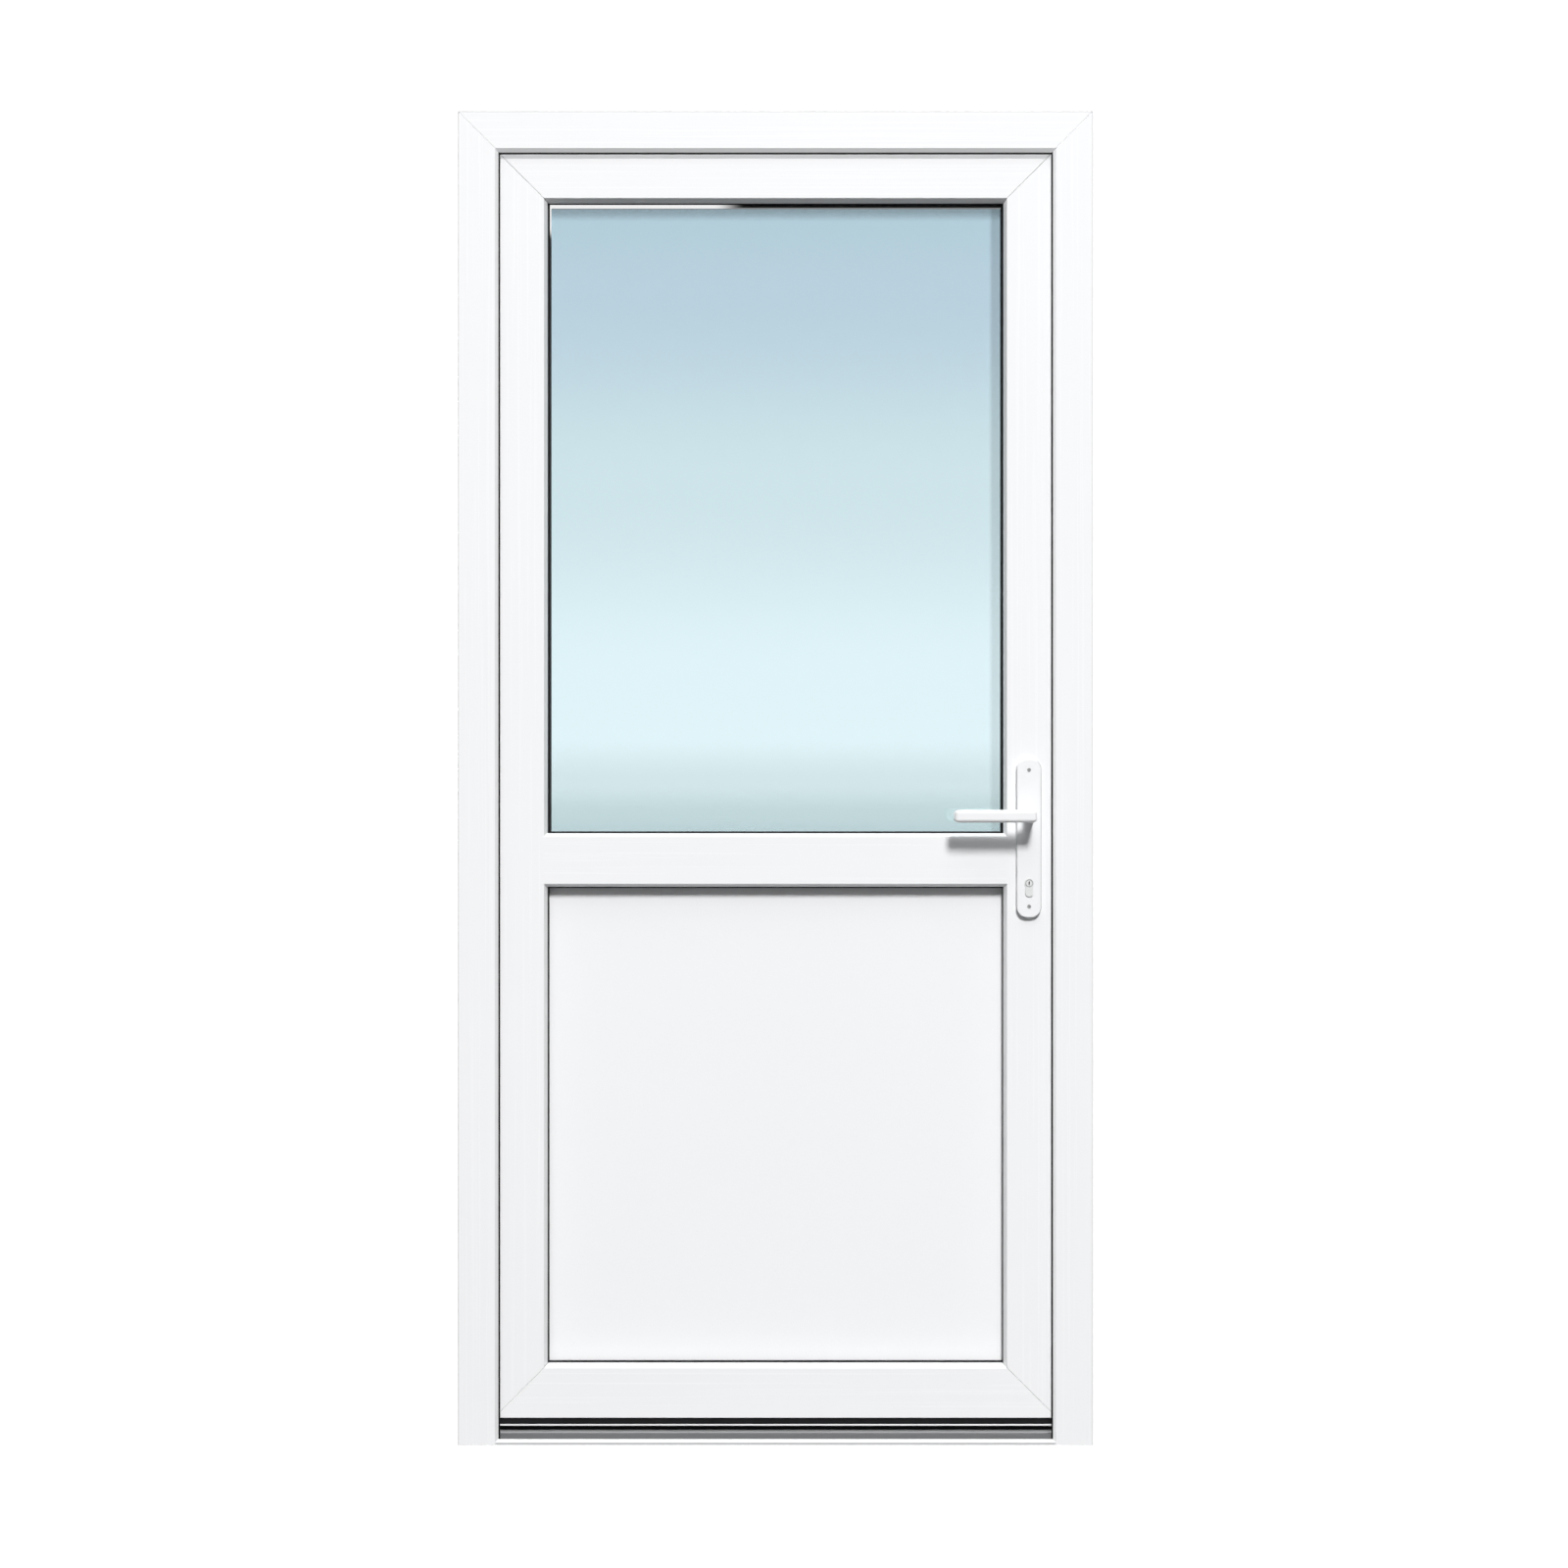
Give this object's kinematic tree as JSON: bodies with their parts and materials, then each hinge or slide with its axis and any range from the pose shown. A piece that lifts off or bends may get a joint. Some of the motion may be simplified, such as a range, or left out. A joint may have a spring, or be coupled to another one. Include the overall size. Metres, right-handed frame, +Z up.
{
  "type": "glazed pvc door",
  "caption": "White PVC entrance door in its frame: glazed upper half, flat lower panel, lever handle on a long backplate, low aluminium threshold.",
  "frame": {"origin": "middle of the sill underside, 30 mm behind the frame's outside face", "axes": "+Z up the door, -Y towards the outside, +X towards the lock side as seen from outside"},
  "size_m": [1, 0.186, 2.1],
  "materials": {
    "white_pvc": "smooth white extruded PVC with a soft sheen",
    "white_panel": "flat white PVC-faced sandwich panel",
    "clear_glass": "clear double glazing with a pale blue cast",
    "black_rubber": "matt black EPDM seal",
    "dark_spacer": "dark warm-edge spacer",
    "anodised_aluminium": "mill-drawn, silver anodised",
    "white_handle": "white powder coat, satin",
    "white_hinge": "white powder coat, satin",
    "bright_steel": "nickel or zinc plated"
  },
  "bodies": {
    "frame": {"frame_head": "white_pvc", "frame_jamb_hinge": "white_pvc", "frame_jamb_lock": "white_pvc", "frame_seal": "black_rubber", "hinge_brackets": "white_hinge", "hinge_pins": "bright_steel", "strike_plates": "bright_steel", "threshold": "anodised_aluminium", "threshold_nosing": "white_pvc", "threshold_seal": "black_rubber"},
    "leaf": {"bottom_drip_strip": "anodised_aluminium", "bottom_rail": "white_pvc", "bottom_weather_seal": "black_rubber", "glass_bead_bottom": "white_pvc", "glass_bead_left": "white_pvc", "glass_bead_right": "white_pvc", "glass_bead_top": "white_pvc", "glass_gasket_inner": "black_rubber", "glass_gasket_outer": "black_rubber", "glass_spacer": "dark_spacer", "hinge_stile": "white_pvc", "hinge_wings": "white_hinge", "inner_backplate": "white_handle", "inner_pane": "clear_glass", "leaf_seal": "black_rubber", "lock_bolts": "bright_steel", "lock_cylinder": "bright_steel", "lock_faceplate": "bright_steel", "lock_stile": "white_pvc", "lower_panel": "white_panel", "outer_backplate": "white_handle", "outer_pane": "clear_glass", "panel_bead_bottom": "white_pvc", "panel_bead_left": "white_pvc", "panel_bead_right": "white_pvc", "panel_bead_top": "white_pvc", "panel_gasket_inner": "black_rubber", "panel_gasket_outer": "black_rubber", "plate_screws": "bright_steel", "top_rail": "white_pvc", "transom": "white_pvc"},
    "handle": {"outer_lever": "white_handle", "inner_lever": "white_handle", "spindle": "bright_steel"}
  },
  "joints": [
    {"name": "door_swing", "type": "hinge", "parent": "frame", "child": "leaf", "pos_m": [-0.474, 0.06, 1.05], "axis": [0, 0, 1], "range_deg": [0, 100]},
    {"name": "handle_turn", "type": "hinge", "parent": "leaf", "child": "handle", "pos_m": [0.3995, 0.015, 0.9907], "axis": [0, -1, 0], "range_deg": [0, 40], "stiffness_Nm_per_rad": 1.5, "springref_deg": -28.65}
  ]
}
